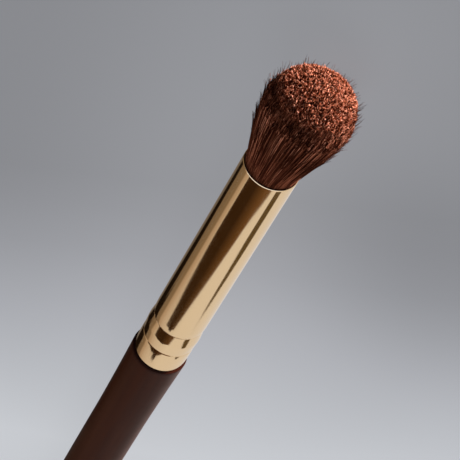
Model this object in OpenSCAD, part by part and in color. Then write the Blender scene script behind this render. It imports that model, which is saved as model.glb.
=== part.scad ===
// Eyeshadow brush: a fluffy round head in a crimped metal ferrule, on a long
// turned wooden handle. All sizes are in millimetres.
//
// Every piece is drawn upright on the brush's own axis. The mouth of the ferrule
// is at height 0, the head rises above it and the handle hangs below it. The
// whole brush is then laid down along X with its head towards +X, so that the
// widest place of the head rests on the plane Z = 0.

/* [Head] */
// Length of the hair beyond the mouth of the ferrule
hair_out = 15; // [13:0.1:17]
// Radius of the head where it is widest
head_r = 5.3; // [4.6:0.01:6.4]
// Height of the widest place above the mouth
head_wide_at = 10.1; // [9:0.1:11.2]
// Length of the pointed end of a strand
strand_tip_l = 1.3; // [0.8:0.1:1.6]
// Most that a strand falls short of the dome
tip_scatter = 0.3; // [0:0.05:0.5]
// Width of a strand as a share of its cell in the bundle
strand_share = 0.8; // [0.6:0.01:0.84]
// Rings of strands in the bundle
strand_rings = 8; // [8:1:10]
// Thickness of the slice of packed hair that the strands grow from
slice_l = 1.1; // [0.6:0.1:2]
// Depth of that slice below the mouth
slice_sink = 0.1; // [0.05:0.05:0.5]

/* [Ferrule] */
// Length of the ferrule
ferrule_l = 37.3; // [33:0.1:42]
// Outer radius of the tube
tube_r = 3.31; // [3.2:0.01:3.6]
// Thickness of the metal
wall = 0.15; // [0.12:0.01:0.2]
// Height of the upper groove above the lower end
upper_groove_up = 7.3; // [6.5:0.1:8.2]
// Height of the crest of the bead above the lower end
crest_up = 5.4; // [4.4:0.05:6.2]
// Height of the lower groove above the lower end
lower_groove_up = 3.5; // [2.6:0.1:4.2]
// Depth of both grooves
groove_depth = 0.04; // [0.02:0.01:0.08]
// How far the crest stands out beyond the tube
crest_proud = 0.07; // [0.04:0.01:0.15]
// How far the skirt stands out beyond the tube
skirt_proud = 0.02; // [0.01:0.005:0.06]
// Length over which the tube draws in to the upper groove
draw_in_l = 1.2; // [0.6:0.1:2]
// Rounding of the lower end of the skirt
skirt_round = 0.1; // [0.04:0.01:0.12]

/* [Handle] */
// Length of the handle below the ferrule
handle_l = 124.7; // [100:0.1:150]
// Radius of the shoulder that meets the ferrule
shoulder_r = 3.52; // [3.46:0.01:3.8]
// Rounding of the shoulder's edge
shoulder_round = 0.2; // [0.05:0.01:0.2]
// Length over which the shoulder narrows to the grip land
shoulder_l = 16; // [12:0.5:20]
// Radius of the straight grip land
land_r = 3.27; // [3.1:0.01:3.4]
// Length of the grip land
land_l = 10; // [6:0.5:16]
// Radius of the handle just before its rounded tail
tail_r = 1.95; // [1.4:0.01:2.6]
// Length of the rounded tail
tail_round_l = 2.2; // [1.5:0.1:3.5]
// Radius of the tenon inside the ferrule
tenon_r = 2.9; // [2.7:0.01:2.95]
// Length of the tenon
tenon_l = 15.5; // [9:0.5:17]
// Chamfer on the tip of the tenon
tenon_chamfer = 0.3; // [0.1:0.05:0.6]

/* [Inside the ferrule] */
// Radial gap between a piece and the one that it is fitted into
fit = 0.02; // [0.01:0.005:0.03]
// Radial gap between the packed hair and the metal
hair_gap = 0.06; // [0.03:0.01:0.1]
// Depth of the butt ends of the hair below the mouth
roots_depth = 14; // [12:0.1:15]
// How far the butt ends stand in the resin
roots_in_resin = 2; // [1:0.1:2.5]
// Thickness of the resin round the butt ends
resin_wall = 0.4; // [0.2:0.05:0.6]
// Depth of the middle of the binding thread below the mouth
thread_depth = 9; // [5:0.1:9.5]
// Diameter of the thread
thread_d = 0.25; // [0.15:0.01:0.3]
// Turns of thread side by side
thread_turns = 3; // [2:1:5]

/* [Hidden] */

// Sides of a full turn of the rounds
round_sides = 96;
// Steps along a long curve of an outline, and along a small rounding
curve_steps = 24;
round_steps = 6;

// Radii and heights that follow from the sizes above
bore_r = tube_r - wall;
skirt_r = tube_r + skirt_proud;
upper_groove_r = tube_r - groove_depth;
lower_groove_r = skirt_r - groove_depth;
crest_r = tube_r + crest_proud;
ferrule_end = -ferrule_l;
tenon_top = ferrule_end + tenon_l;
land_top = ferrule_end - shoulder_l;
land_end = land_top - land_l;
tail_end = ferrule_end - handle_l;
adhesive_r = upper_groove_r - wall - fit;
bundle_r = bore_r - hair_gap;
slice_end = -slice_sink - slice_l;
resin_r = bore_r - fit;
resin_top = roots_in_resin - roots_depth;
pocket_r = resin_r - resin_wall;
thread_pitch_share = 0.9;
thread_half_l = thread_d * (1 + thread_pitch_share * (thread_turns - 1)) / 2;
waist_r = bundle_r - thread_d;

// Where the mouth lies on the brush that lies along X, centred end to end
mouth_x = (handle_l + ferrule_l - hair_out) / 2;

// Power of the curve of the head's flare, of the shoulder and of the taper
flare_power = 1.4;
shoulder_power = 1.6;
taper_power = 1.4;

// Steps from 0 to 1, both ends included
function steps(n) = [for (i = [0 : n]) i / n];

// Points of a quarter ellipse from its widest place, [x, y], inwards by rx and down by ry
function rounded_down(x, y, rx, ry) =
    [for (t = steps(round_steps)) [x - rx * (1 - cos(90 * t)), y - ry * sin(90 * t)]];

module turned(outline) rotate_extrude($fn = round_sides) polygon(outline);

// The head rests on the flat between two of its outermost strands, a little nearer
// the axis than the strands themselves.
module laid()
    translate([mouth_x, 0, head_r * cos(180 / (sectors * strand_rings))])
    rotate([0, 90, 0]) children();

// Handle: one turned piece, from the tenon in the ferrule down to the rounded tail
function shoulder_curve() =
    [for (t = steps(curve_steps))
        [land_r + (shoulder_r - land_r) * pow(1 - t, shoulder_power),
         ferrule_end - shoulder_round - (shoulder_l - shoulder_round) * t]];

function taper_curve() =
    let (taper_l = land_end - tail_end - tail_round_l)
    [for (t = steps(curve_steps))
        [land_r - (land_r - tail_r) * pow(t, taper_power), land_end - taper_l * t]];

function shoulder_edge() =
    [for (t = steps(round_steps))
        [shoulder_r - shoulder_round * (1 - sin(90 * t)),
         ferrule_end - shoulder_round * (1 - cos(90 * t))]];

function tail_curve() = rounded_down(tail_r, tail_end + tail_round_l, tail_r, tail_round_l);

// Drops the first point of a run that repeats the last point of the run before it
function rest_of(run) = [for (i = [1 : len(run) - 1]) run[i]];

module handle() color([0.24, 0.14, 0.11]) laid() turned(concat(
    [[0, tenon_top], [tenon_r - tenon_chamfer, tenon_top],
     [tenon_r, tenon_top - tenon_chamfer], [tenon_r, ferrule_end]],
    shoulder_edge(), rest_of(shoulder_curve()), taper_curve(), rest_of(tail_curve())));

// Adhesive: the thin sleeve between the tenon and the metal
module tenon_adhesive() color([0.85, 0.8, 0.68]) laid() turned([
    [tenon_r + fit, ferrule_end + skirt_round],
    [adhesive_r, ferrule_end + skirt_round],
    [adhesive_r, tenon_top - tenon_chamfer],
    [tenon_r + fit, tenon_top - tenon_chamfer]]);

// Ferrule: a thin tube with a rounded lip, two rolled grooves and the bead between them
function lip() =
    [for (t = steps(2 * round_steps))
        [tube_r - wall / 2 - cos(180 * t) * wall / 2, (sin(180 * t) - 1) * wall / 2]];

function draw_in() =
    [for (t = steps(round_steps))
        [tube_r - groove_depth * t * t, ferrule_end + upper_groove_up + draw_in_l * (1 - t)]];

module ferrule() color([0.86, 0.73, 0.56]) laid() turned(concat(
    lip(),
    draw_in(),
    [[crest_r, ferrule_end + crest_up],
     [lower_groove_r, ferrule_end + lower_groove_up],
     [skirt_r, ferrule_end + lower_groove_up - groove_depth]],
    rounded_down(skirt_r, ferrule_end + skirt_round, skirt_round, skirt_round),
    [[skirt_r - wall, ferrule_end],
     [skirt_r - wall, ferrule_end + lower_groove_up - groove_depth],
     [lower_groove_r - wall, ferrule_end + lower_groove_up],
     [crest_r - wall, ferrule_end + crest_up],
     [upper_groove_r - wall, ferrule_end + upper_groove_up],
     [bore_r, ferrule_end + upper_groove_up + draw_in_l]]));

// Resin plug: fills the tube above the tenon and holds the butt ends in a pocket
module resin_plug() color([0.8, 0.72, 0.5]) laid() turned([
    [0, tenon_top + fit], [resin_r, tenon_top + fit],
    [resin_r, resin_top], [pocket_r, resin_top],
    [pocket_r, -roots_depth - fit], [0, -roots_depth - fit]]);

// Binding thread: turns side by side, sunk into the waist of the bundle
function thread_turn(i) =
    let (middle = thread_half_l - thread_d / 2 - i * thread_d * thread_pitch_share)
    [for (a = [60, 30, 0, -30, -60])
        [bundle_r - (1 - cos(a)) * thread_d / 2, middle - thread_depth + sin(a) * thread_d / 2]];

module binding_thread() color([0.92, 0.9, 0.84]) laid() turned(concat(
    [[waist_r + fit, thread_half_l - thread_depth]],
    [for (i = [0 : thread_turns - 1]) each thread_turn(i)],
    [[waist_r + fit, -thread_half_l - thread_depth]]));

// Hair roots: the packed bundle inside the ferrule, tied at a waist and set in the resin
module hair_roots() color([0.2, 0.1, 0.07]) laid() turned([
    [0, -roots_depth], [pocket_r - fit, -roots_depth],
    [pocket_r - fit, resin_top + fit],
    [bundle_r, resin_top + fit + resin_wall],
    [bundle_r, -thread_half_l - thread_depth - thread_d],
    [waist_r, -thread_half_l - thread_depth],
    [waist_r, thread_half_l - thread_depth],
    [bundle_r, thread_half_l - thread_depth + thread_d],
    [bundle_r, slice_end - fit], [0, slice_end - fit]]);

// Hair tuft. The slice's top is a disc of three-sided cells, in rings of five
// sectors, and one three-sided strand stands in each cell. Every strand keeps its
// own share of the radius at every height, so no strand crosses another.
// A corner between two outer cells points straight down when laid.
sectors = 5;
// Turns each ring on from the next one outwards, so that no straight slit runs across
ring_twist = 3.4;
// Heights of the strands' two lower bends, as shares of the height of the widest place
bend_shares = [0.34, 0.74];
scatter_seed = 7;

function disc_point(ring, i) =
    ring == 0 ? [0, 0]
    : let (a = ring_twist * (strand_rings - ring) + 360 * i / (sectors * ring))
      [cos(a), sin(a)] * ring / strand_rings;

function disc_index(ring, i) =
    ring == 0 ? 0 : 1 + sectors * ring * (ring - 1) / 2 + i % (sectors * ring);

disc = [for (ring = [0 : strand_rings], i = [0 : max(1, sectors * ring) - 1]) disc_point(ring, i)];

// Cells of one ring: those with an edge outwards, then those with a corner outwards
function ring_cells(ring) = [for (s = [0 : sectors - 1]) each concat(
    [for (m = [0 : ring - 1])
        [disc_index(ring, s * ring + m), disc_index(ring, s * ring + m + 1),
         disc_index(ring - 1, s * (ring - 1) + m)]],
    [for (m = [1 : 1 : ring - 1])
        [disc_index(ring, s * ring + m), disc_index(ring - 1, s * (ring - 1) + m),
         disc_index(ring - 1, s * (ring - 1) + m - 1)]])];

cells = [for (ring = [1 : strand_rings]) each ring_cells(ring)];
middles = [for (c = cells) (disc[c[0]] + disc[c[1]] + disc[c[2]]) / 3];
innermost = norm(middles[0]);
outermost = max([for (m = middles) norm(m)]);
shortfalls = rands(0, tip_scatter, len(cells), scatter_seed);

// Radius of the hair at a height above the mouth, up to the widest place
function hair_r(z) =
    bundle_r + (head_r - bundle_r) * pow(sin(90 * min(max(z / head_wide_at, 0), 1)), flare_power);

// Height of the tip of strand n: the dome's, less that strand's own shortfall
function tip_height(n) =
    let (share = (norm(middles[n]) - innermost) / (outermost - innermost))
    head_wide_at + (hair_out - head_wide_at) * sqrt(max(0, 1 - share * share))
    - (n < sectors ? 0 : shortfalls[n]);

// Three corners of strand n at a height
function strand_corners(n, z) = [for (k = [0 : 2])
    let (p = middles[n] + strand_share * (disc[cells[n][k]] - middles[n]))
    [p.x * hair_r(z), p.y * hair_r(z), z]];

function strand_points(n) = concat(
    strand_corners(n, -slice_sink),
    strand_corners(n, head_wide_at * bend_shares[0]),
    strand_corners(n, head_wide_at * bend_shares[1]),
    strand_corners(n, tip_height(n) - strand_tip_l),
    [let (tip = middles[n] * head_r / outermost) [tip.x, tip.y, tip_height(n)]]);

strand_levels = 4;
points_a_strand = 3 * strand_levels + 1;
rim_count = sectors * strand_rings;
rim_start = len(disc) - rim_count;
base_start = len(disc) + points_a_strand * len(cells);

function tuft_points() = concat(
    [for (p = disc) [p.x * bundle_r, p.y * bundle_r, -slice_sink]],
    [for (n = [0 : len(cells) - 1]) each strand_points(n)],
    [for (i = [0 : rim_count - 1])
        let (p = disc[rim_start + i]) [p.x * bundle_r, p.y * bundle_r, slice_end]]);

// Faces round strand n: the ring of its cell, its sides and its point
function strand_faces(n) =
    let (first = len(disc) + points_a_strand * n, tip = first + 3 * strand_levels)
    concat(
        [for (k = [0 : 2]) let (j = (k + 1) % 3) each [
            [cells[n][k], first + j, cells[n][j]],
            [cells[n][k], first + k, first + j]]],
        [for (level = [0 : strand_levels - 2], k = [0 : 2])
            let (j = (k + 1) % 3, low = first + 3 * level, high = low + 3) each [
                [low + k, high + j, low + j],
                [low + k, high + k, high + j]]],
        [for (k = [0 : 2]) [tip - 3 + k, tip, tip - 3 + (k + 1) % 3]]);

// Faces of the slice's side and bottom
function slice_faces() = concat(
    [for (i = [0 : rim_count - 1]) let (j = (i + 1) % rim_count) each [
        [base_start + i, rim_start + j, base_start + j],
        [base_start + i, rim_start + i, rim_start + j]]],
    [for (i = [1 : rim_count - 2]) [base_start, base_start + i, base_start + i + 1]]);

module hair_tuft() color([0.42, 0.21, 0.13]) laid() polyhedron(
    points = tuft_points(),
    faces = concat([for (n = [0 : len(cells) - 1]) each strand_faces(n)], slice_faces()));

handle();
tenon_adhesive();
ferrule();
resin_plug();
binding_thread();
hair_roots();
hair_tuft();
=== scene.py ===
# %% [markdown]
# # An eyeshadow brush, close up
#
# The brush lies along X with its head towards +X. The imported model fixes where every
# piece is, and this script gives the pieces their looks: thousands of fine hairs, a
# polished gold ferrule and a lacquered wooden handle. Blender works in metres here, so
# a length is written as a number of millimetres times MM.

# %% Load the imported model
import math

import bmesh
import bpy
from mathutils import Matrix, Vector


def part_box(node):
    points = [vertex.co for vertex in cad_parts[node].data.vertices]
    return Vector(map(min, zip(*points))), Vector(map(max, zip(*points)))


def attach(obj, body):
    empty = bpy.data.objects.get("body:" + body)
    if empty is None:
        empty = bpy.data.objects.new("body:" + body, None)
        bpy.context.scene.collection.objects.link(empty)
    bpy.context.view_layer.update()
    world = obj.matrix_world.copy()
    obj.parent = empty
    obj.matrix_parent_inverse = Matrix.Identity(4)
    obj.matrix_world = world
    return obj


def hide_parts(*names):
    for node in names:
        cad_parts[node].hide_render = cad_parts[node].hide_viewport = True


MM = 0.001
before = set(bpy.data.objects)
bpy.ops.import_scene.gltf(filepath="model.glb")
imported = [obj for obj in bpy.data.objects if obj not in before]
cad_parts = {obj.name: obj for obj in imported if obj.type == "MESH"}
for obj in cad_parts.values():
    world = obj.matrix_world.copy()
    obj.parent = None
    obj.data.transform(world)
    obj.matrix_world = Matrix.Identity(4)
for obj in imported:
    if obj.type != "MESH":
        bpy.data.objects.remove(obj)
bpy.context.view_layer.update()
ferrule_low, ferrule_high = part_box("ferrule")
_, hair_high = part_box("hair_tuft")
handle_low, handle_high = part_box("handle")
mouth = Vector((ferrule_high.x, 0, (ferrule_low.z + ferrule_high.z) / 2))
print("mouth of the ferrule at", [round(c / MM, 2) for c in mouth], "mm")

# %% [markdown]
# ## The camera
#
# The photograph looks down at the head from in front, with a long lens, and the camera
# is rolled so that the handle leaves the picture at the lower left. A camera can be
# placed by hand, by a Track To constraint or by its matrix. The matrix is used here,
# because the roll is part of the view: its columns are the camera's right, up and back.

# %% Camera
CAMERA_TILT = math.radians(41.94)
CAMERA_ROLL = math.radians(148.66)
# Where the mouth of the ferrule lies from the camera: to its right, up and back
MOUTH_IN_VIEW = Vector((4.55, 6.9, -238.7)) * MM
SENSOR_MM = 36
# Length of the lens over the width of the picture, both in pixels
FOCAL_SHARE = 2200 / 460
NEAREST_SEEN = 5 * MM


def make_camera():
    """A camera that sees the mouth of the ferrule where the photograph shows it."""
    back = Vector((math.cos(CAMERA_TILT), 0, math.sin(CAMERA_TILT)))
    level_up = Vector((-back.z, 0, back.x))
    up = level_up * math.cos(CAMERA_ROLL) + Vector((0, 1, 0)) * math.sin(CAMERA_ROLL)
    right = up.cross(back)
    turn = Matrix((right, up, back)).transposed()
    data = bpy.data.cameras.new("camera")
    data.sensor_width = SENSOR_MM
    data.lens = SENSOR_MM * FOCAL_SHARE
    data.clip_start = NEAREST_SEEN
    camera = bpy.data.objects.new("camera", data)
    camera.matrix_world = Matrix.Translation(mouth - turn @ MOUTH_IN_VIEW) @ turn.to_4x4()
    bpy.context.scene.collection.objects.link(camera)
    bpy.context.scene.camera = camera
    return camera


camera = make_camera()
print("camera at", [round(c / MM, 1) for c in camera.location], "mm")

# %% [markdown]
# ## Helpers for node trees
#
# Materials and Geometry Nodes trees are both made of nodes. These few lines add a node,
# feed its sockets and let a formula be written with + - * /, which reads better than a
# long list of Math nodes.

# %% Adding and feeding nodes


def feed(tree, socket, value):
    """Gives a socket a value, or wires it to another node's output."""
    if isinstance(value, Wire):
        value = value.socket
    if isinstance(value, bpy.types.NodeSocket):
        tree.links.new(value, socket)
    else:
        socket.default_value = value


def add_node(tree, kind, feeds=None, **options):
    """Adds a node with its options set and its sockets fed, by name or by number."""
    node = tree.nodes.new(kind)
    for option, value in options.items():
        setattr(node, option, value)
    for key, value in (feeds or {}).items():
        feed(tree, node.inputs[key], value)
    return node


print("nodes can be added and fed")

# %% Formulas made of nodes


class Wire:
    """A number flowing through a node tree, which takes part in formulas."""

    def __init__(self, tree, socket):
        self.tree = tree
        self.socket = socket

    def math(self, operation, *others):
        """One Math node, with this number as its first input."""
        node = add_node(self.tree, "ShaderNodeMath", operation=operation)
        for socket, value in zip(node.inputs, (self, *others)):
            feed(self.tree, socket, value)
        return Wire(self.tree, node.outputs[0])

    def __add__(self, other):
        return self.math("ADD", other)

    def __sub__(self, other):
        return self.math("SUBTRACT", other)

    def __mul__(self, other):
        return self.math("MULTIPLY", other)

    def __truediv__(self, other):
        return self.math("DIVIDE", other)

    def __pow__(self, other):
        return self.math("POWER", other)

    __radd__ = __add__
    __rmul__ = __mul__

    def __rsub__(self, other):
        return self.math("MULTIPLY_ADD", -1, other)

    def sin(self):
        return self.math("SINE")

    def cos(self):
        return self.math("COSINE")

    def root(self):
        return self.math("MAXIMUM", 0).math("SQRT")

    def clamped(self):
        """Held between 0 and 1."""
        return self.math("MAXIMUM", 0.0).math("MINIMUM", 1.0)


print("formulas ready")

# %% [markdown]
# ## Hair: one tree for every strand
#
# A tuft of soft hair is thousands of strands that leave the ferrule as a tight bundle,
# flare out and end on a dome. Blender's hair curves would render well but can't be
# exported, so each strand is a thin mesh tube. Geometry Nodes lay them: points carry a
# random place in the bundle, each gets a short curve, and one formula bends every curve.
# Each strand keeps its own share of the bundle's radius, so strands hardly cross, and
# its last stretch curls over in a direction of its own, as used brush tips do.

# %% Sizes of the tuft
HAIR_OUT = hair_high.x - mouth.x
HEAD_RADIUS = mouth.z
BUNDLE_RADIUS = 3.0 * MM
WIDEST_OUT = 10.1 * MM
# How much the flare bows outwards, from 0 for a straight cone
FLARE_BOW = 0.25
# How far the head leans towards -Y at its top, and how late the lean sets in
HEAD_LEAN = -0.53 * MM
LEAN_POWER = 1.4
# How far the longest hairs stand past the dome
TIP_LIFT = 0.3 * MM


def flared_radius(reach):
    """The bundle's radius at a share of the way from the mouth to its widest place."""
    flare = reach * (1 + FLARE_BOW - FLARE_BOW * reach)
    return BUNDLE_RADIUS + (HEAD_RADIUS - BUNDLE_RADIUS) * flare


print("hair stands out", round(HAIR_OUT / MM, 2), "mm, radius", round(HEAD_RADIUS / MM, 2))

# %% Inputs of the strand tree
STRAND_INPUTS = [
    ("Strands", "NodeSocketInt"),
    ("Seed", "NodeSocketInt"),
    ("Steps", "NodeSocketInt"),
    ("Sides", "NodeSocketInt"),
    ("Lowest Dome Share", "NodeSocketFloat"),
    ("Highest Dome Share", "NodeSocketFloat"),
    ("Start", "NodeSocketFloat"),
    ("Longest", "NodeSocketFloat"),
    ("Shortfall", "NodeSocketFloat"),
    ("Thickness", "NodeSocketFloat"),
    ("Thinning", "NodeSocketFloat"),
    ("Curl Length", "NodeSocketFloat"),
    ("Curl", "NodeSocketFloat"),
    ("Wander", "NodeSocketFloat"),
    ("Clumping", "NodeSocketFloat"),
    ("Tuft Size", "NodeSocketFloat"),
    ("Proud", "NodeSocketFloat"),
    ("Least Copper", "NodeSocketFloat"),
    ("Most Copper", "NodeSocketFloat"),
    ("Lightest Tone", "NodeSocketFloat"),
    ("Material", "NodeSocketMaterial"),
]


def new_strand_tree():
    """An empty Geometry Nodes tree with the tuft's named inputs."""
    tree = bpy.data.node_groups.new("tuft of strands", "GeometryNodeTree")
    tree.interface.new_socket("Geometry", in_out="INPUT", socket_type="NodeSocketGeometry")
    for name, kind in STRAND_INPUTS:
        tree.interface.new_socket(name, in_out="INPUT", socket_type=kind)
    tree.interface.new_socket("Geometry", in_out="OUTPUT", socket_type="NodeSocketGeometry")
    return tree


print("strand tree takes", len(STRAND_INPUTS), "inputs")

# %% Points and straight curves
THINNEST, STOUTEST = 0.65, 1.25
# Room for the numbers of one layer's random choices, so that no two layers share any
CHOICES_PER_SEED = 16


def random_wire(tree, low, high, salt, seed):
    """A random number for each point, between low and high, from the node's float sockets."""
    node = add_node(tree, "FunctionNodeRandomValue", data_type="FLOAT")
    feed(tree, node.inputs[2], low)
    feed(tree, node.inputs[3], high)
    feed(tree, node.inputs["Seed"], seed * CHOICES_PER_SEED + salt)
    return Wire(tree, node.outputs[1])


def kept(tree, geometry, name, value, domain="POINT", data_type="FLOAT"):
    """Stores a value on the geometry under a name."""
    node = add_node(
        tree, "GeometryNodeStoreNamedAttribute", {"Geometry": geometry, "Name": name},
        data_type=data_type, domain=domain,
    )
    feed(tree, node.inputs["Value"], value)
    return node.outputs["Geometry"]


def recalled(tree, name):
    """Reads a value stored under a name."""
    node = add_node(tree, "GeometryNodeInputNamedAttribute", {"Name": name}, data_type="FLOAT")
    return Wire(tree, node.outputs["Attribute"])


def scatter_points(tree, given):
    """One point a strand, with its random choices stored on it, in a fixed order."""
    flow = add_node(tree, "GeometryNodePoints", {"Count": given["Strands"]}).outputs["Geometry"]
    choices = {
        "turn": (0.0, math.tau),
        "dome_share": (given["Lowest Dome Share"], given["Highest Dome Share"]),
        "short_share": (0.0, 1.0),
        "tone": (0.0, given["Lightest Tone"]),
        "stout": (THINNEST, STOUTEST),
        "curl_turn": (0.0, math.tau),
        "curl_rise": (-1.0, 1.0),
        "wander": (-1.0, 1.0),
        "copper": (given["Least Copper"], given["Most Copper"]),
    }
    for salt, (name, (low, high)) in enumerate(choices.items()):
        flow = kept(tree, flow, name, random_wire(tree, low, high, salt, given["Seed"]))
    return flow, list(choices)


def stepped_curves(tree, flow, given):
    """A straight curve on every point, with steps to bend it at, and the way along it."""
    line = add_node(tree, "GeometryNodeCurvePrimitiveLine", {"End": (0, 0, 1)})
    stepped = add_node(
        tree, "GeometryNodeResampleCurve", {"Curve": line.outputs[0], "Count": given["Steps"]},
    )
    placed = add_node(
        tree, "GeometryNodeInstanceOnPoints",
        {"Points": flow, "Instance": stepped.outputs["Curve"]},
    )
    real = add_node(tree, "GeometryNodeRealizeInstances", {0: placed.outputs[0]})
    way = Wire(tree, add_node(tree, "GeometryNodeSplineParameter").outputs["Factor"])
    return kept(tree, real.outputs[0], "way", way)


print("points and straight curves ready")

# %% Noise that neighbours share
# Stretches noise, which keeps near its middle of 0.5, to about -1 to 1
NOISE_STRETCH = 3.6


def neighbour_noise(tree, radius_share, turn, size):
    """Three smooth random numbers, from -1 to 1, that strands side by side share."""
    spot = add_node(tree, "ShaderNodeCombineXYZ")
    feed(tree, spot.inputs[0], radius_share * turn.sin() * HEAD_RADIUS / size)
    feed(tree, spot.inputs[1], radius_share * turn.cos() * HEAD_RADIUS / size)
    noise = add_node(
        tree, "ShaderNodeTexNoise", {"Vector": spot.outputs[0], "Scale": 1.0, "Detail": 1.0},
    )
    parts = add_node(tree, "ShaderNodeSeparateXYZ", {0: noise.outputs["Color"]})
    return [(Wire(tree, part) - 0.5) * NOISE_STRETCH for part in parts.outputs]


print("shared noise ready")

# %% Bends of the strands
# Share of a strand's steps that its curled tip takes
CURL_STEPS_SHARE = 0.5
# How much of the shortfall is a strand's own, and how much it shares with its neighbours
OWN_SHORT = 0.6
SHARED_SHORT = 0.2
# How much height a curled tip loses as it leans over
CURL_DROOP = 0.35
# How much of a tip's curl has a direction of its own, how much follows its neighbours,
# and how much goes up or down
OWN_CURL = 0.6
SHARED_CURL = 0.5
RISING_CURL = 0.5
# Clumps round the bundle, as waves: how many go round, how strongly they draw and where
# they start. The numbers of waves have no common measure, so no pattern repeats.
CLUMP_WAVES = [(29, 0.2, 0.4), (53, 0.35, 2.1), (83, 0.5, 4.0), (127, 0.5, 1.2)]
CLUMP_DEPTH = 0.4 * MM
# How far the clumps wind round the bundle on their way out, in radians
CLUMP_TWIST = 0.8
# Hairs that would dip under the surface lie on it instead
LOWEST_HAIR = 0.03 * MM


def bend_curves(tree, flow, given):
    """Moves every step of every curve to its place in the tuft."""
    way = recalled(tree, "way")
    turn = recalled(tree, "turn")
    dome_share = recalled(tree, "dome_share")
    radius_share = (1 - dome_share * dome_share).root()
    lean_y, lean_z, lift = neighbour_noise(tree, radius_share, turn, given["Tuft Size"])

    # Heights: the tip lies on the dome less a shortfall, the start is fixed or follows the tip
    short = recalled(tree, "short_share") * OWN_SHORT + (lift + 1) * SHARED_SHORT
    short = short * given["Shortfall"]
    tip = WIDEST_OUT + dome_share * (HAIR_OUT - WIDEST_OUT) + TIP_LIFT - short
    start = (tip - given["Longest"]).math("MAXIMUM", given["Start"])
    bend_at = tip - given["Curl Length"]
    body = (way / (1 - CURL_STEPS_SHARE)).clamped()
    curl = ((way - (1 - CURL_STEPS_SHARE)) / CURL_STEPS_SHARE).clamped()
    height = start + (bend_at - start) * body
    height = height + given["Curl Length"] * curl * (1 - CURL_DROOP * curl)

    # The bundle flares, and its strands gather into clumps with hollows between them
    reach = (height / WIDEST_OUT).clamped()
    bundle = flared_radius(reach)
    gathered = turn
    hollow = 0.0
    for waves, pull, phase in CLUMP_WAVES:
        swing = turn * waves + phase + reach * CLUMP_TWIST
        gathered = gathered + swing.sin() * given["Clumping"] * reach * (pull / waves)
        hollow = hollow + (swing.cos() + 1) * (pull / 2)
    gathered = gathered + recalled(tree, "wander") * given["Wander"] * reach / bundle
    sunk = hollow * given["Clumping"] * reach * CLUMP_DEPTH
    radius = radius_share * (bundle - sunk) + given["Proud"] * curl

    # Each tip curls over, partly with its neighbours and partly in a direction of its own
    curled = curl * curl * given["Curl"]
    curl_turn = recalled(tree, "curl_turn")
    side_y = (curl_turn.cos() * OWN_CURL + lean_y * SHARED_CURL) * curled
    side_z = (curl_turn.sin() * OWN_CURL + lean_z * SHARED_CURL) * curled
    rise = recalled(tree, "curl_rise") * curled * RISING_CURL
    lean = (height / HAIR_OUT).clamped() ** LEAN_POWER * HEAD_LEAN
    z = gathered.cos() * radius + side_z + mouth.z
    place = add_node(tree, "ShaderNodeCombineXYZ")
    feed(tree, place.inputs[0], height + rise + mouth.x)
    feed(tree, place.inputs[1], gathered.sin() * radius + side_y + lean)
    feed(tree, place.inputs[2], z.math("MAXIMUM", LOWEST_HAIR))
    thickness = recalled(tree, "stout") * given["Thickness"] * (1 - given["Thinning"] * curl)
    flow = kept(tree, flow, "thickness", thickness)
    return add_node(
        tree, "GeometryNodeSetPosition", {"Geometry": flow, "Position": place.outputs[0]},
    ).outputs[0]


print("strands gather in", len(CLUMP_WAVES), "waves of clumps")

# %% Tubes, and the tree put together
# How much of the map's width is a strand's tone, and how much the way round the strand
TONE_SHARE = 0.94
ROUND_SHARE = 0.06


def tubes_on_curves(tree, flow, given):
    """Thin tubes with a map of their own: tone across it, and the way to copper up it."""
    ring = add_node(
        tree, "GeometryNodeCurvePrimitiveCircle", {"Resolution": given["Sides"], "Radius": 1.0},
    )
    round_it = Wire(tree, add_node(tree, "GeometryNodeSplineParameter").outputs["Factor"])
    profile = kept(tree, ring.outputs["Curve"], "around", round_it)
    tubes = add_node(
        tree, "GeometryNodeCurveToMesh",
        {"Curve": flow, "Profile Curve": profile, "Fill Caps": True},
    )
    feed(tree, tubes.inputs["Scale"], recalled(tree, "thickness"))
    along = recalled(tree, "way") * recalled(tree, "copper")
    flow = kept(tree, tubes.outputs[0], "along", along)
    flat = add_node(tree, "ShaderNodeCombineXYZ")
    across = recalled(tree, "tone") * TONE_SHARE + recalled(tree, "around") * ROUND_SHARE
    feed(tree, flat.inputs[0], across)
    feed(tree, flat.inputs[1], recalled(tree, "along"))
    return kept(tree, flow, "OFBake", flat.outputs[0], domain="CORNER", data_type="FLOAT2")


def build_strand_tree():
    """The whole tree: points, curves, their bends, tubes and material."""
    tree = new_strand_tree()
    entry = tree.nodes.new("NodeGroupInput")
    given = {name: Wire(tree, entry.outputs[name]) for name, _ in STRAND_INPUTS}
    flow, choices = scatter_points(tree, given)
    flow = stepped_curves(tree, flow, given)
    flow = bend_curves(tree, flow, given)
    flow = tubes_on_curves(tree, flow, given)
    for name in [*choices, "way", "thickness", "around"]:
        if name != "tone":
            flow = add_node(
                tree, "GeometryNodeRemoveAttribute", {"Geometry": flow, "Name": name},
            ).outputs[0]
    smooth = add_node(tree, "GeometryNodeSetShadeSmooth", {0: flow})
    whole = add_node(tree, "GeometryNodeRealizeInstances", {0: smooth.outputs[0]})
    dressed = add_node(
        tree, "GeometryNodeSetMaterial",
        {"Geometry": whole.outputs[0], "Material": given["Material"]},
    )
    leave = tree.nodes.new("NodeGroupOutput")
    feed(tree, leave.inputs[0], dressed.outputs[0])
    return tree


strand_tree = build_strand_tree()
print("strand tree has", len(strand_tree.nodes), "nodes")

# %% [markdown]
# ## The colour of the hair
#
# Every strand is dark brown at its root, warmer further out, and copper at its curled
# tip, and no two strands are quite alike. An image could hold that, but two attributes
# do it better: tone is one random number a strand, and along runs from root to tip.
# Helpers for materials come first, because the metal and the wood need them too.

# %% Material helpers


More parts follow.
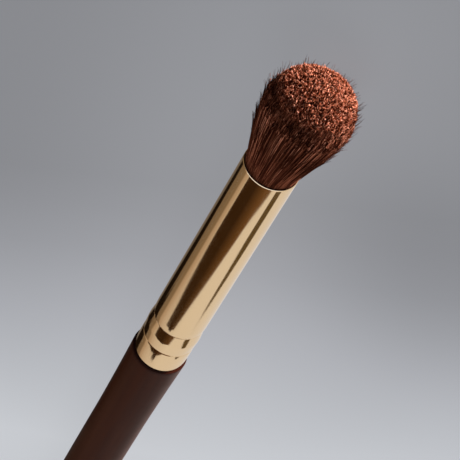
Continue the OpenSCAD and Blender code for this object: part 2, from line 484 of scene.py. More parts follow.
def blank_material(name):
    """A new material, its node tree and its Principled BSDF."""
    material = bpy.data.materials.new(name)
    material.use_nodes = True
    tree = material.node_tree
    return material, tree, tree.nodes["Principled BSDF"]


def ramp(tree, factor, stops):
    """A colour ramp with the stops given as (place, (r, g, b))."""
    node = add_node(tree, "ShaderNodeValToRGB", {0: factor})
    elements = node.color_ramp.elements
    while len(elements) < len(stops):
        elements.new(0.5)
    for element, (place, colour) in zip(elements, stops):
        element.position = place
        element.color = (*colour, 1)
    return node.outputs[0]


def mixed(tree, factor, first, second):
    """The first colour where the factor is 0, and the second where it is 1."""
    node = add_node(tree, "ShaderNodeMix", data_type="RGBA")
    feed(tree, node.inputs[0], factor)
    feed(tree, node.inputs[6], first)
    feed(tree, node.inputs[7], second)
    return node.outputs[2]


def attribute_wire(tree, name):
    """Reads a value that the mesh carries under a name."""
    node = add_node(tree, "ShaderNodeAttribute", attribute_name=name)
    return Wire(tree, node.outputs["Fac"])


def object_place(tree):
    """Where a point lies on the object, in metres."""
    return add_node(tree, "ShaderNodeTexCoord").outputs["Object"]


def grain(tree, place, scale, detail):
    """Smooth random grain, from 0 to 1. A scale of three numbers stretches it."""
    if isinstance(scale, tuple):
        place = add_node(tree, "ShaderNodeMapping", {"Vector": place, "Scale": scale}).outputs[0]
        scale = 1.0
    node = add_node(
        tree, "ShaderNodeTexNoise", {"Vector": place, "Scale": scale, "Detail": detail},
    )
    return Wire(tree, node.outputs[0])


print("material helpers ready")

# %% Hair material
# Colours by tone, darkest strand first: near the root, and at the copper tip
HAIR_ROOT = [
    (0.0, (0.009, 0.0017, 0.0008)), (0.45, (0.064, 0.0163, 0.0083)), (0.72, (0.25, 0.077, 0.040)),
    (0.88, (0.52, 0.184, 0.104)), (1.0, (0.80, 0.325, 0.205)),
]
HAIR_TIP = [
    (0.0, (0.035, 0.005, 0.0013)), (0.45, (0.28, 0.067, 0.030)), (0.8, (0.575, 0.199, 0.113)),
    (1.0, (0.90, 0.40, 0.265)),
]
# Near the ferrule the strands are all close to one tone, and differ more further out
CALM_TONE = 0.6
CALM_SPREAD = 0.35
SPREAD_RISE = 3
# Painted shade where the strands leave the ferrule: nearly black, and it fades out soon
PAINTED_MOUTH_SHADE = (0.004, 0.001, 0.0005, 1)
PAINTED_SHADE_FADE = 25
# Where along a strand the copper sets in, and how fast
COPPER_START = 0.5
COPPER_RISE = 4


def make_hair_material():
    material, tree, shader = blank_material("brown hair, copper tips")
    tone = attribute_wire(tree, "tone")
    along = attribute_wire(tree, "along")
    spread = (along * SPREAD_RISE + CALM_SPREAD).clamped()
    root = ramp(tree, (tone - CALM_TONE) * spread + CALM_TONE, HAIR_ROOT)
    # The first stretch of every strand gets painted shade from the ferrule's lip
    root = mixed(tree, (along * PAINTED_SHADE_FADE).clamped(), PAINTED_MOUTH_SHADE, root)
    tip = ramp(tree, tone, HAIR_TIP)
    tipped = ((along - COPPER_START) * COPPER_RISE).clamped()
    feed(tree, shader.inputs["Base Color"], mixed(tree, tipped, root, tip))
    shader.inputs["Roughness"].default_value = 0.5
    shader.inputs["Specular IOR Level"].default_value = 0.0
    return material


hair_material = make_hair_material()
print("made", hair_material.name)

# %% [markdown]
# ## Growing the tuft
#
# The tuft is grown in layers. Side strands run the whole way from the ferrule and
# make the flared flanks. Tip strands are only the last few millimetres of the inner
# hairs, because nothing further down shows. Two thin layers of stray hairs break the
# outline, one at the dome and one at the flanks. One mesh could hold them all, but
# separate pieces stay light enough to be exported whole.

# %% Grow one layer


def grow(name, **sizes):
    """Runs the strand tree on an empty object and keeps the result as a plain mesh."""
    carrier = bpy.data.objects.new(name, bpy.data.meshes.new(name))
    bpy.context.scene.collection.objects.link(carrier)
    modifier = carrier.modifiers.new("strands", "NODES")
    modifier.node_group = strand_tree
    sockets = {s.name: s for s in strand_tree.interface.items_tree if s.in_out == "INPUT"}
    for key, value in {**sizes, "Material": hair_material}.items():
        modifier[sockets[key.replace("_", " ")].identifier] = value
    depsgraph = bpy.context.evaluated_depsgraph_get()
    grown = bpy.data.meshes.new_from_object(
        carrier.evaluated_get(depsgraph), preserve_all_data_layers=True, depsgraph=depsgraph,
    )
    carrier.modifiers.remove(modifier)
    carrier.data = grown
    grown.name = name
    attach(carrier, "root")
    print(name, len(grown.polygons), "faces")
    return carrier


print("ready to grow")

# %% Grow all layers
SIDE = dict(
    Steps=14, Sides=3, Lowest_Dome_Share=0.0, Highest_Dome_Share=0.6, Start=-0.5 * MM,
    Longest=30 * MM, Shortfall=1.3 * MM, Thickness=0.046 * MM, Thinning=0.3,
    Curl_Length=0.8 * MM, Curl=0.22 * MM, Wander=0.4 * MM, Clumping=1.0, Tuft_Size=0.45 * MM,
    Proud=0.0, Least_Copper=0.3, Most_Copper=0.8, Lightest_Tone=1.0,
)
TIPS = dict(
    Steps=8, Sides=3, Lowest_Dome_Share=0.50, Highest_Dome_Share=1.0, Start=-0.5 * MM,
    Longest=2.6 * MM, Shortfall=1.25 * MM, Thickness=0.043 * MM, Thinning=0.1,
    Curl_Length=0.36 * MM, Curl=0.22 * MM, Wander=0.1 * MM, Clumping=0.6, Tuft_Size=0.32 * MM,
    Proud=0.0, Least_Copper=0.58, Most_Copper=1.1, Lightest_Tone=1.0,
)
STRAYS = dict(
    Steps=12, Sides=3, Lowest_Dome_Share=0.0, Highest_Dome_Share=0.9, Start=-0.5 * MM,
    Longest=9 * MM, Shortfall=-1.3 * MM, Thickness=0.028 * MM, Thinning=0.6,
    Curl_Length=2.4 * MM, Curl=0.35 * MM, Wander=0.3 * MM, Clumping=0.0, Tuft_Size=0.6 * MM,
    Proud=0.4 * MM, Least_Copper=0.0, Most_Copper=0.5, Lightest_Tone=0.6,
)
FLANK_STRAYS = dict(
    Steps=12, Sides=3, Lowest_Dome_Share=0.0, Highest_Dome_Share=0.25, Start=-0.5 * MM,
    Longest=30 * MM, Shortfall=3.5 * MM, Thickness=0.03 * MM, Thinning=0.5,
    Curl_Length=4.5 * MM, Curl=0.2 * MM, Wander=0.3 * MM, Clumping=0.0, Tuft_Size=0.6 * MM,
    Proud=0.32 * MM, Least_Copper=0.0, Most_Copper=0.3, Lightest_Tone=0.6,
)
# Name, number of strands, seed and sizes of each layer
LAYERS = [
    ("side_hair", 2450, 1, SIDE),
    ("side_hair_under", 2450, 2, SIDE),
    ("side_hair_between", 2450, 7, SIDE),
    ("tip_hair", 4400, 3, TIPS),
    ("tip_hair_under", 4400, 4, TIPS),
    ("tip_hair_between", 4400, 8, TIPS),
    ("stray_hair", 420, 5, STRAYS),
    ("flank_stray_hair", 340, 6, FLANK_STRAYS),
]
layers = [grow(name, Strands=count, Seed=seed, **sizes) for name, count, seed, sizes in LAYERS]
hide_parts("hair_tuft")
print("grew", sum(count for _, count, _, _ in LAYERS), "strands")

# %% [markdown]
# ## The imported core
#
# Behind the strands the real tuft is solid hair. A closed turned form just under the
# strands stands for it, so that no light leaks through, and its very dark colour is
# partly the hair's own and partly painted shade deep in the tuft. The Screw modifier
# could turn it. A loop over rings of points gives the same mesh with no modifier to
# apply, closes its poles with true triangles, and makes the ferrule and the handle too.

# %% Turned forms


def turned(name, outline, sides, material, closed=False):
    """Turns an outline of (height above the mouth, radius) points about the brush's axis.

    A point of radius 0 becomes a pole. A closed outline's last ring joins its first.
    """
    form = bmesh.new()
    rings = []
    for height, radius in outline:
        centre = mouth + Vector((height, 0, 0))
        if radius == 0:
            rings.append([form.verts.new(centre)])
            continue
        angles = [math.tau * k / sides for k in range(sides)]
        rings.append([
            form.verts.new(centre + Vector((0, math.sin(a), math.cos(a))) * radius) for a in angles
        ])
    pairs = list(zip(rings, rings[1:]))
    if closed:
        pairs.append((rings[-1], rings[0]))
    for lower, upper in pairs:
        for k in range(sides):
            j = (k + 1) % sides
            corners = [
                lower[k % len(lower)], lower[j % len(lower)],
                upper[j % len(upper)], upper[k % len(upper)],
            ]
            form.faces.new(list(dict.fromkeys(corners)))
    bmesh.ops.recalc_face_normals(form, faces=form.faces)
    mesh = bpy.data.meshes.new(name)
    form.to_mesh(mesh)
    form.free()
    mesh.shade_smooth()
    mesh.materials.append(material)
    piece = bpy.data.objects.new(name, mesh)
    bpy.context.scene.collection.objects.link(piece)
    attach(piece, "root")
    print(name, len(mesh.polygons), "faces")
    return piece


print("ready to turn forms")

# %% Core of the tuft
CORE_SIDES = 48
CORE_STEPS = 14
# The core's size as a share of the tuft's, and where it starts inside the ferrule
CORE_SHARE = 0.86
CORE_FOOT = -1 * MM
CORE_GRAIN = 9000.0
# The hair's own dark brown, made darker still as painted shade between the strands
CORE_HAIR_AND_SHADE_COLOURS = [(0.3, (0.012, 0.004, 0.003)), (0.7, (0.04, 0.012, 0.007))]


def core_outline():
    """The tuft's own outline drawn in a little, from the mouth up and over the dome."""
    points = [(CORE_FOOT, 0), (CORE_FOOT, BUNDLE_RADIUS * CORE_SHARE)]
    for k in range(CORE_STEPS):
        reach = k / CORE_STEPS
        points.append((WIDEST_OUT * reach, flared_radius(reach) * CORE_SHARE))
    dome = (HAIR_OUT - WIDEST_OUT) * CORE_SHARE
    for k in range(CORE_STEPS):
        a = math.pi / 2 * k / CORE_STEPS
        points.append((WIDEST_OUT + dome * math.sin(a), HEAD_RADIUS * CORE_SHARE * math.cos(a)))
    points.append((WIDEST_OUT + dome, 0))
    return points


def make_core_material():
    material, tree, shader = blank_material("packed hair")
    specks = grain(tree, object_place(tree), CORE_GRAIN, detail=3.0)
    feed(tree, shader.inputs["Base Color"], ramp(tree, specks, CORE_HAIR_AND_SHADE_COLOURS))
    shader.inputs["Roughness"].default_value = 0.8
    return material


core = turned("hair_core", core_outline(), CORE_SIDES, make_core_material())
for corner in core.data.vertices:
    out = max(0.0, (corner.co.x - mouth.x) / HAIR_OUT)
    corner.co.y += HEAD_LEAN * out ** LEAN_POWER

# %% [markdown]
# ## The ferrule
#
# The ferrule is one thin tube of plated brass, drawn in at two rolled grooves that grip
# the handle, with a bead left standing between them. A Bevel modifier could soften its
# edges, but all by the same width. Here each corner of the outline is rounded by its own
# small arc: polished metal has no truly sharp edge, and the arcs catch the light. The
# form is turned with many sides, because a mirror finish shows every flat.

# %% Rounded outlines
ARC_STEPS = 6


def rounded(corners):
    """An outline through corners (height, radius, rounding), each replaced by a small arc."""
    points = []
    for k, (height, radius, rounding) in enumerate(corners):
        here = Vector((height, radius))
        back = Vector(corners[k - 1][:2]) - here
        ahead = Vector(corners[(k + 1) % len(corners)][:2]) - here
        reach = min(rounding, back.length / 2, ahead.length / 2)
        first = here + back.normalized() * reach
        last = here + ahead.normalized() * reach
        for step in range(ARC_STEPS + 1):
            t = step / ARC_STEPS
            point = first * (1 - t) ** 2 + here * 2 * t * (1 - t) + last * t ** 2
            points.append(tuple(point))
    return points


print("each corner becomes", ARC_STEPS + 1, "points")

# %% Ferrule sizes
FERRULE_END = ferrule_low.x - mouth.x
TUBE_R = 3.31 * MM
WALL = 0.15 * MM
SKIRT_R = 3.33 * MM
CREST_R = 3.39 * MM
CREASE_R = 3.22 * MM
UPPER_GROOVE = FERRULE_END + 7.3 * MM
LOWER_GROOVE = FERRULE_END + 3.5 * MM
CREST = FERRULE_END + 5.4 * MM
CREASE_HALF = 0.09 * MM
# Over what height the tube is drawn in above the upper groove
DRAW_IN = 0.9 * MM
LIP_ROLL = 0.11 * MM
# Where the lip is highest, as a share of the wall from its outside
LIP_CROWN = 0.45
# Where the skirt reaches its full radius, and where it starts to turn into the groove
SKIRT_FULL = FERRULE_END + 1.7 * MM
SKIRT_TURN = LOWER_GROOVE - 0.6 * MM
# How far the metal is drawn in at the skirt's end, its turn and its top, at the top of
# the bead, at the foot of the tube and in the bore behind the upper groove
SKIRT_END_IN = 0.035 * MM
SKIRT_TURN_IN = 0.006 * MM
SKIRT_TOP_IN = 0.034 * MM
BEAD_TOP_IN = 0.06 * MM
TUBE_FOOT_IN = 0.035 * MM
GRIP_IN = 0.06 * MM
# The lower groove is shallower than the upper one
LOWER_CREASE_OUT = 0.02 * MM
print("ferrule is", round(-FERRULE_END / MM, 2), "mm long")

# %% Ferrule outline


def ferrule_outline():
    """Corners from the rolled lip down the bore, then back up the outside over the bead.

    Each row is a corner's height, radius and rounding.
    """
    bore = TUBE_R - WALL
    return rounded([
        (-LIP_ROLL, TUBE_R, 0.1 * MM),
        (0, TUBE_R - WALL * LIP_CROWN, 0.06 * MM),
        (-LIP_ROLL, bore, 0.03 * MM),
        (UPPER_GROOVE + DRAW_IN, bore, 0.5 * MM),
        (UPPER_GROOVE, bore - GRIP_IN, 0.4 * MM),
        (LOWER_GROOVE, SKIRT_R - WALL, 0.2 * MM),
        (FERRULE_END, SKIRT_R - WALL, 0.02 * MM),
        (FERRULE_END, SKIRT_R - SKIRT_END_IN, 0.12 * MM),
        (SKIRT_FULL, SKIRT_R, 1.2 * MM),
        (SKIRT_TURN, SKIRT_R - SKIRT_TURN_IN, 0.3 * MM),
        (LOWER_GROOVE - CREASE_HALF, SKIRT_R - SKIRT_TOP_IN, 0.08 * MM),
        (LOWER_GROOVE, CREASE_R + LOWER_CREASE_OUT, 0.05 * MM),
        (LOWER_GROOVE + CREASE_HALF, TUBE_R, 0.06 * MM),
        (CREST, CREST_R, 0.22 * MM),
        (UPPER_GROOVE - CREASE_HALF, TUBE_R - BEAD_TOP_IN, 0.06 * MM),
        (UPPER_GROOVE, CREASE_R, 0.05 * MM),
        (UPPER_GROOVE + CREASE_HALF, TUBE_R - TUBE_FOOT_IN, 0.05 * MM),
        (UPPER_GROOVE + DRAW_IN, TUBE_R, 0.6 * MM),
    ])


print("ferrule outline has", len(ferrule_outline()), "points")

# %% [markdown]
# ### Polished gold
#
# Plated brass is a coloured mirror with a slight haze. Fine lines run along it from
# polishing, so its roughness comes from a noise stretched along X, and a very faint
# bump keeps the reflections from looking computed.

# %% Gold material
GOLD = (0.92, 0.665, 0.393, 1)
FERRULE_SIDES = 160
# Polishing lines are long along X and fine across it, and clouds are as long as wide
POLISH_LINES = (120, 4000, 4000)
HAZE_CLOUDS = 500.0
# The least roughness, and how much the lines and the clouds add to it
LEAST_HAZE = 0.04
LINE_HAZE = 0.06
CLOUD_HAZE = 0.05
LINE_DEPTH = 0.02 * MM
LINE_STRENGTH = 0.05


def bumped(tree, shader, height, depth, strength):
    """Lets a height between 0 and 1 tilt the shading of the surface."""
    bump = add_node(
        tree, "ShaderNodeBump", {"Strength": strength, "Distance": depth, "Height": height},
    )
    feed(tree, shader.inputs["Normal"], bump.outputs[0])


def make_gold_material():
    material, tree, shader = blank_material("champagne gold plating")
    place = object_place(tree)
    lines = grain(tree, place, POLISH_LINES, detail=4.0)
    clouds = grain(tree, place, HAZE_CLOUDS, detail=2.0)
    haze = lines * LINE_HAZE + clouds * CLOUD_HAZE + LEAST_HAZE
    feed(tree, shader.inputs["Roughness"], haze)
    shader.inputs["Base Color"].default_value = GOLD
    shader.inputs["Metallic"].default_value = 1
    bumped(tree, shader, lines, LINE_DEPTH, LINE_STRENGTH)
    return material


gold = make_gold_material()
ferrule = turned("gold_ferrule", ferrule_outline(), FERRULE_SIDES, gold, closed=True)
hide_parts("ferrule")

# %% [markdown]
# ## The handle
#
# The handle is one piece of wood turned on a lathe. Its shoulder stands a little proud
# of the ferrule, narrows to a straight grip, and then tapers to a rounded tail. The
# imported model's own handle could be kept, but its facets would show in the lacquer.
# This outline follows the same curves in more steps.

# %% Handle outline
SHOULDER_R = (handle_high.y - handle_low.y) / 2
SHOULDER_L = 16 * MM
LAND_R = 3.27 * MM
LAND_L = 10 * MM
TAIL_R = 1.95 * MM
TAIL_ROUND = 2.2 * MM
EDGE_ROUND = 0.2 * MM
TENON_R = 2.9 * MM
TENON_TOP = handle_high.x - mouth.x
TAIL_END = handle_low.x - mouth.x
# Powers of the shoulder's and the taper's curves
SHOULDER_POWER = 1.6
TAPER_POWER = 1.4
EDGE_STEPS = 8
SHOULDER_STEPS = 30
TAPER_STEPS = 40
TAIL_STEPS = 12


def handle_outline():
    """From the tenon's face in the ferrule, over the shoulder and down to the tail."""
    land_top = FERRULE_END - SHOULDER_L
    land_end = land_top - LAND_L
    taper_end = TAIL_END + TAIL_ROUND
    points = [(TENON_TOP, 0), (TENON_TOP, TENON_R), (FERRULE_END, TENON_R)]
    for step in range(EDGE_STEPS + 1):
        a = math.pi / 2 * step / EDGE_STEPS
        points.append((
            FERRULE_END - EDGE_ROUND * (1 - math.cos(a)),
            SHOULDER_R - EDGE_ROUND * (1 - math.sin(a)),
        ))
    for step in range(1, SHOULDER_STEPS + 1):
        t = step / SHOULDER_STEPS
        points.append((
            FERRULE_END - EDGE_ROUND - (SHOULDER_L - EDGE_ROUND) * t,
            LAND_R + (SHOULDER_R - LAND_R) * (1 - t) ** SHOULDER_POWER,
        ))
    for step in range(TAPER_STEPS + 1):
        t = step / TAPER_STEPS
        points.append((
            land_end - (land_end - taper_end) * t,
            LAND_R - (LAND_R - TAIL_R) * t ** TAPER_POWER,
        ))
    for step in range(1, TAIL_STEPS):
        a = math.pi / 2 * step / TAIL_STEPS
        points.append((taper_end - TAIL_ROUND * math.sin(a), TAIL_R * math.cos(a)))
    points.append((TAIL_END, 0))
    return points


print("handle outline has", len(handle_outline()), "points")

# %% [markdown]
# ### Lacquered wood
#
# Under a satin lacquer only a hint of the grain is left: slightly lighter and darker
# lines along the handle. Principled's coat could stand for the lacquer, but it gives
# the handle a clear streak of light, and this one has only a dull sheen. A low specular
# level with a middling, slightly uneven roughness looks like it.

# %% Lacquer material
HANDLE_SIDES = 128
WOOD_LINES = (60, 900, 900)
WOOD_COLOURS = [
    (0.25, (0.028, 0.0068, 0.0027)), (0.55, (0.0365, 0.0090, 0.0035)),
    (0.85, (0.0455, 0.0121, 0.0049)),
]
# Painted shade in the seam at the ferrule, which fades over a short way down the handle
PAINTED_SEAM_SHADE_COLOUR = (0.017, 0.0034, 0.0016, 1)
PAINTED_SHADE_REACH = 0.7 * MM
# Spots of uneven lacquer, the least roughness and how much the spots add to it
LACQUER_SPOTS = 700.0
LEAST_ROUGHNESS = 0.32
SPOT_ROUGHNESS = 0.12
SPOT_DEPTH = 0.03 * MM
SPOT_STRENGTH = 0.08
LACQUER_SHEEN = 0.06


def axis_wires(tree, place):
    """The x, y and z of a place."""
    split = add_node(tree, "ShaderNodeSeparateXYZ", {0: place})
    return [Wire(tree, part) for part in split.outputs]


def make_lacquer_material():
    material, tree, shader = blank_material("dark brown lacquered wood")
    place = object_place(tree)
    colour = ramp(tree, grain(tree, place, WOOD_LINES, detail=5.0), WOOD_COLOURS)
    # Painted shade darkens the handle next to the ferrule
    from_seam = (mouth.x + FERRULE_END - axis_wires(tree, place)[0]) / PAINTED_SHADE_REACH
    colour = mixed(tree, from_seam.clamped(), PAINTED_SEAM_SHADE_COLOUR, colour)
    feed(tree, shader.inputs["Base Color"], colour)
    spots = grain(tree, place, LACQUER_SPOTS, detail=3.0)
    feed(tree, shader.inputs["Roughness"], spots * SPOT_ROUGHNESS + LEAST_ROUGHNESS)
    bumped(tree, shader, spots, SPOT_DEPTH, SPOT_STRENGTH)
    shader.inputs["Specular IOR Level"].default_value = LACQUER_SHEEN
    return material


lacquer = make_lacquer_material()
handle = turned("lacquered_handle", handle_outline(), HANDLE_SIDES, lacquer)
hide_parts("handle")

# %% [markdown]
# ## What the ferrule hides
#
# The roots, thread, resin and glue are sealed inside, but each still gets its own
# finish, because the model may be opened up one day. New meshes would add nothing that
# can be seen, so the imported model's own solids stay, and only their material changes.

# %% Hidden pieces
HIDDEN_LINES = (300, 5000, 5000)
# Dark shade, light shade and roughness
HIDDEN = {
    "tenon_adhesive": ((0.62, 0.55, 0.40), (0.74, 0.68, 0.54), 0.5),
    "resin_plug": ((0.50, 0.36, 0.16), (0.66, 0.52, 0.28), 0.15),
    "binding_thread": ((0.62, 0.58, 0.48), (0.86, 0.83, 0.75), 0.85),
    # The roots' own dark brown, made nearly black as painted shade where they show at the mouth
    "hair_roots": ((0.008, 0.002, 0.001), (0.024, 0.007, 0.004), 0.8),
}


def make_plain_material(name, dark, light, roughness):
    """Two shades of one colour in a fine grain that runs along the brush."""
    material, tree, shader = blank_material(name.replace("_", " "))
    lines = grain(tree, object_place(tree), HIDDEN_LINES, detail=3.0)
    feed(tree, shader.inputs["Base Color"], ramp(tree, lines, [(0.3, dark), (0.7, light)]))
    shader.inputs["Roughness"].default_value = roughness
    return material


for node_name, finish in HIDDEN.items():
    material = make_plain_material(node_name, *finish)
    node_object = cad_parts[node_name]
    node_object.data.materials.clear()
    node_object.data.materials.append(material)
print("dressed", ", ".join(HIDDEN))

# %% [markdown]
# ## Floor and world
#
# The brush lies on pale grey paper that grows lighter towards the picture's bottom.
# Lamps could make that change of light, but they would light the object with it. So
# the paper holds it as painted light in its colour, and mostly glows in that colour where
# the camera sees it. The world gives a plain, even light from all round.

# %% Colour of the paper
# How far a spot on the floor lies down the picture, from 0 at its top to 1 at its bottom,
# worked out from its x and y in metres
FALL_ALONG_X = -17.5
FALL_ALONG_Y = -11.3
FALL_START = 1.093
# The same from the picture's left to its right
SIDE_ALONG_X = 6.4
SIDE_ALONG_Y = -15.8
SIDE_START = 0.165
# The paper's colour down the picture, with its change of light painted in
PAPER_WITH_PAINTED_LIGHT = [
    (0.0, (0.272, 0.277, 0.297)), (0.1, (0.290, 0.295, 0.317)), (0.25, (0.330, 0.336, 0.362)),
    (0.5, (0.427, 0.437, 0.470)), (0.75, (0.524, 0.540, 0.574)), (1.0, (0.622, 0.642, 0.678)),
]
# A faint painted pool of light on the paper and a faint painted shade, where the picture
# has them near the head: stretch, centre after stretching and radius in metres, and gain
PAINTED_POOLS = [
    ((0.5, 1, 1), (0.033, 0.002, 0), 0.032, 0.20),
    ((1, 1, 1), (0.0665, -0.0195, 0), 0.024, -0.14),
]
# The paper's gain at the picture's left, and how much painted light it gains towards the right
LEFT_GAIN = 0.96
PAINTED_SIDE_GAIN = 0.06


def vector_node(tree, operation, feeds):
    """One Vector Math node."""
    return add_node(tree, "ShaderNodeVectorMath", feeds, operation=operation)


def paper_colour(tree):
    """The paper's colour from spot to spot, with its painted pools of light and shade."""
    place = object_place(tree)
    x, y, _ = axis_wires(tree, place)
    fall = (x * FALL_ALONG_X + y * FALL_ALONG_Y + FALL_START).clamped()
    side = (x * SIDE_ALONG_X + y * SIDE_ALONG_Y + SIDE_START).clamped()
    gain = side * PAINTED_SIDE_GAIN + LEFT_GAIN
    for stretch, centre, radius, change in PAINTED_POOLS:
        stretched = vector_node(tree, "MULTIPLY", {0: place, 1: stretch}).outputs[0]
        away = vector_node(tree, "DISTANCE", {0: stretched, 1: centre}).outputs["Value"]
        near = (1 - Wire(tree, away) / radius).clamped()
        smooth_near = near * near * (3 - 2 * near)
        gain = gain + smooth_near * change
    return vector_node(tree, "SCALE", {0: ramp(tree, fall, PAPER_WITH_PAINTED_LIGHT), "Scale": gain}).outputs[0]


print("paper has", len(PAPER_WITH_PAINTED_LIGHT), "shades and", len(PAINTED_POOLS), "pools")

# %% Floor
FLOOR_SIZE = 3.0
# How much of what the camera sees is the glow. The rest is lit, shaded paper.
GLOW_SHARE = 0.87


def make_floor():
    material, tree, shader = blank_material("grey paper")
    colour = paper_colour(tree)
    feed(tree, shader.inputs["Base Color"], colour)
    shader.inputs["Roughness"].default_value = 0.9
    shader.inputs["Specular IOR Level"].default_value = 0.0
    glow = add_node(tree, "ShaderNodeEmission", {"Color": colour, "Strength": 1.0})
    path = add_node(tree, "ShaderNodeLightPath")
    seen = Wire(tree, path.outputs["Is Camera Ray"])
    for ray in ("Is Glossy Ray", "Is Transmission Ray"):
        seen = seen.math("MAXIMUM", Wire(tree, path.outputs[ray]))
    blend = add_node(
        tree, "ShaderNodeMixShader",
        {0: seen * GLOW_SHARE, 1: shader.outputs[0], 2: glow.outputs[0]},
    )
    feed(tree, tree.nodes["Material Output"].inputs["Surface"], blend.outputs[0])
    mesh = bpy.data.meshes.new("floor")
    half = FLOOR_SIZE / 2
    corners = [(-half, -half, 0), (half, -half, 0), (half, half, 0), (-half, half, 0)]
    mesh.from_pydata(corners, [], [(0, 1, 2, 3)])
    mesh.materials.append(material)
    floor = bpy.data.objects.new("floor", mesh)
    # The key light stands lower than the floor, which mustn't keep it from the head
    floor.visible_shadow = False
    bpy.context.scene.collection.objects.link(floor)


make_floor()
print("floor of", FLOOR_SIZE, "m ready")

# %% World
# What the world gives as light, as backdrop past the floor, and as reflection in metal
WORLD_LIGHT = (0.16, 0.16, 0.16, 1)
WORLD_SEEN = (0.45, 0.46, 0.48, 1)
WORLD_IN_METAL = (0.145, 0.117, 0.085, 1)


def make_world():
    world = bpy.data.worlds.new("soft room")
    bpy.context.scene.world = world
    world.use_nodes = True
    tree = world.node_tree
    background = tree.nodes["Background"]
    path = add_node(tree, "ShaderNodeLightPath")
    colour = mixed(tree, path.outputs["Is Camera Ray"], WORLD_LIGHT, WORLD_SEEN)
    colour = mixed(tree, path.outputs["Is Glossy Ray"], colour, WORLD_IN_METAL)
    feed(tree, background.inputs["Color"], colour)


make_world()
print("world ready")

# %% [markdown]
# ## Lights
#
# Three soft lamps light the head. The key comes from the picture's upper right, which is
# in front of the head and lower than the floor. The top lamp stands over the ferrule and
# brightens the side hair, and the left one the flank that the key leaves dark. Sun lamps
# would be simpler, but a square lamp near the head gives the soft edge between light and
# shade that the hair shows.

# %% Lights
# How far out of the mouth the lamps aim
AIM_OUT = 5 * MM


def area_light(name, towards, distance, size, power):
    """A square soft light in the direction towards, turned to face the head."""
    data = bpy.data.lights.new(name, "AREA")
    data.shape = "SQUARE"
    data.size = size
    data.energy = power
    light = bpy.data.objects.new(name, data)
    aim = mouth + Vector((AIM_OUT, 0, 0))
    direction = Vector(towards).normalized()
    light.location = aim + direction * distance
    light.rotation_euler = direction.to_track_quat("Z", "Y").to_euler()
    bpy.context.scene.collection.objects.link(light)
    # The metal shows the cards, and not the lamps
    light.visible_glossy = False


# Name, direction from the head, distance and size in metres, and power in watts
LAMPS = [
    ("key", (0.70, -0.44, -0.56), 0.6, 0.14, 23.5),
    ("top", (-0.6, -0.35, 0.7), 0.7, 0.5, 3.4),
    ("left", (-0.4, 0.9, 0.25), 0.7, 0.3, 1.5),
]
for lamp in LAMPS:
    area_light(*lamp)
print("lamps:", ", ".join(lamp[0] for lamp in LAMPS))

# %% [markdown]
# ## What the metal reflects
#
# A mirror shows whatever stands round it, so a photographer places cards by the metal.
# White cards give the ferrule its bright bands and black ones its dark bands. An image
# of a studio round the scene could do the same, but a few flat cards are easier to
# read and to move. They are seen only in reflections. Their places are written in
# millimetres, in the same frame as the brush.

# %% Card helpers


def card(name, corners, near_colour, far_colour=None, near_y=0.0, far_y=1.0):
    """A flat glowing card that only reflections see.

    Its colour can change from near_colour at near_y to far_colour at far_y.
    """
    material, tree, shader = blank_material(name)
    tree.nodes.remove(shader)
    y = axis_wires(tree, object_place(tree))[1]
    share = ((y / MM - near_y) / (far_y - near_y)).clamped()
    colour = ramp(tree, share, [(0.0, near_colour), (1.0, far_colour or near_colour)])
    glow = add_node(tree, "ShaderNodeEmission", {"Color": colour})
    feed(tree, tree.nodes["Material Output"].inputs["Surface"], glow.outputs[0])
    mesh = bpy.data.meshes.new(name)
    mesh.from_pydata([Vector(c) * MM for c in corners], [], [tuple(range(len(corners)))])
    mesh.materials.append(material)
    piece = bpy.data.objects.new(name, mesh)
    bpy.context.scene.collection.objects.link(piece)
    piece.visible_camera = False
    piece.visible_diffuse = False
    piece.visible_shadow = False
    piece.visible_transmission = False
    piece.visible_volume_scatter = False


def level(edge, z):
    """Corners of a level card from its (x, y) edge."""
    return [(x, y, z) for x, y in edge]


def rectangle(x_from, x_to, y_from, y_to, z):
    """Corners of a level rectangular card."""
    return level([(x_from, y_from), (x_to, y_from), (x_to, y_to), (x_from, y_to)], z)


print("cards can be made")

# %% Large cards above and in front
WHITE = (0.72, 0.72, 0.72)
WARM = (0.45, 0.37, 0.30)
COOL = (0.90, 0.98, 1.20)
BLACK = (0.033, 0.0155, 0.005)
BROWN = (0.135, 0.07, 0.028)
DIM = (0.215, 0.165, 0.115)
# Height of the large card, and of those that hang just under it and hide a part of it
CARD_Z = 65
FLAG_Z = CARD_Z - 0.5
# Where the cards end: at the back and in front, and towards -Y and +Y
BACK = -400
FRONT = 140
WALL_Y = -150
SOFT_END_Y = 136
FLAG_EDGE = [
    (60, 75), (-37, 76), (-37, 60), (-34, 42), (-37, 33), (-34, 22), (-30, 8), (-28, -3),
    (-18.5, -12), (-7, -32), (-3, -38), (-4, -46), (-8, -60), (-8, -75), (14, -75),
    (20, -50), (60, -50),
]
card(
    "soft_panel", rectangle(BACK, FRONT, WALL_Y, SOFT_END_Y, CARD_Z),
    WHITE, WARM, near_y=-25, far_y=110,
)
card(
    "dim_ceiling", rectangle(-3000, FRONT, SOFT_END_Y, 2600, CARD_Z + 1),
    WARM, DIM, near_y=SOFT_END_Y, far_y=225,
)
card("front_ceiling", rectangle(62, FRONT, -100, 100, CARD_Z - 1), COOL)
card("front_panel", [
    (FRONT, WALL_Y, 8), (FRONT, 100, 8), (FRONT, 100, CARD_Z), (FRONT, WALL_Y, CARD_Z),
], COOL)
card("black_flag", level(FLAG_EDGE, FLAG_Z), BLACK, BROWN, near_y=12, far_y=-30)
print("large cards ready")

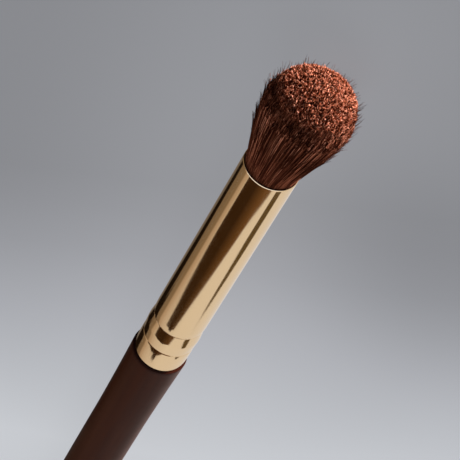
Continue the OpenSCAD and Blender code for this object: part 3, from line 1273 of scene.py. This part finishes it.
# %% Wall, sheets and small cards
SLOT = (0.10, 0.07, 0.03)
DARKEST = (0.010, 0.006, 0.003)
GREY = (0.19, 0.145, 0.10)
PALE_EDGE = (0.23, 0.20, 0.17)
DIM_EDGE = (0.13, 0.11, 0.09)
# Heights of the sheets under the brush. Where two overlap, the higher one is seen.
GREY_Z = 0.2
EDGE_Z = 0.25
SHEET_Z = 0.3
# Where the wall and the sheets end in front
SHEET_FRONT = 100
STRIP_EDGE = [
    (100, 10), (50, 10), (38, 8.5), (5, 8.5), (-40, 50), (-40, 75), (-15, 60), (12, 31),
    (30, 29), (40, 25), (50, 22), (62, 17), (100, 17),
]
# A dark slot runs across the ceiling and down the wall, a millimetre before the wall
SLOT_EDGE = [(-60, -130), (-60, -149), (-106, -149), (-95, -130)]
WALL_SLOT_Y = WALL_Y + 1
WALL_SLOT_EDGE = [
    (-60, 16), (-60, CARD_Z), (-106, CARD_Z), (-121, 54),
    (-130, 48), (-130, 35), (-125, 22), (-98, 11),
]
card("white_wall", [
    (BACK, WALL_Y, 0), (SHEET_FRONT, WALL_Y, 0),
    (SHEET_FRONT, WALL_Y, CARD_Z), (BACK, WALL_Y, CARD_Z),
], WHITE)
card("slot_in_wall", [(x, WALL_SLOT_Y, z) for x, z in WALL_SLOT_EDGE], SLOT)
card("slot_in_ceiling", level(SLOT_EDGE, FLAG_Z), SLOT)
card("tick", rectangle(-37.5, -27, 1.5, 17, FLAG_Z), BLACK)
card("white_sheet", rectangle(BACK, SHEET_FRONT, WALL_Y, -3, SHEET_Z), WHITE)
card("grey_sheet", rectangle(-900, SHEET_FRONT, 16, 1400, GREY_Z), GREY)
card(
    "edge_sheet", rectangle(-60, SHEET_FRONT, -3, 16, EDGE_Z),
    PALE_EDGE, DIM_EDGE, near_y=4, far_y=8.5,
)
card("dark_strip", level(STRIP_EDGE, SHEET_Z), DARKEST)
print("cards ready")

# %% [markdown]
# ## Finish
#
# The colours are shown as they are written, so the view transform is Standard.

# %% Finish
bpy.context.scene.view_settings.view_transform = "Standard"
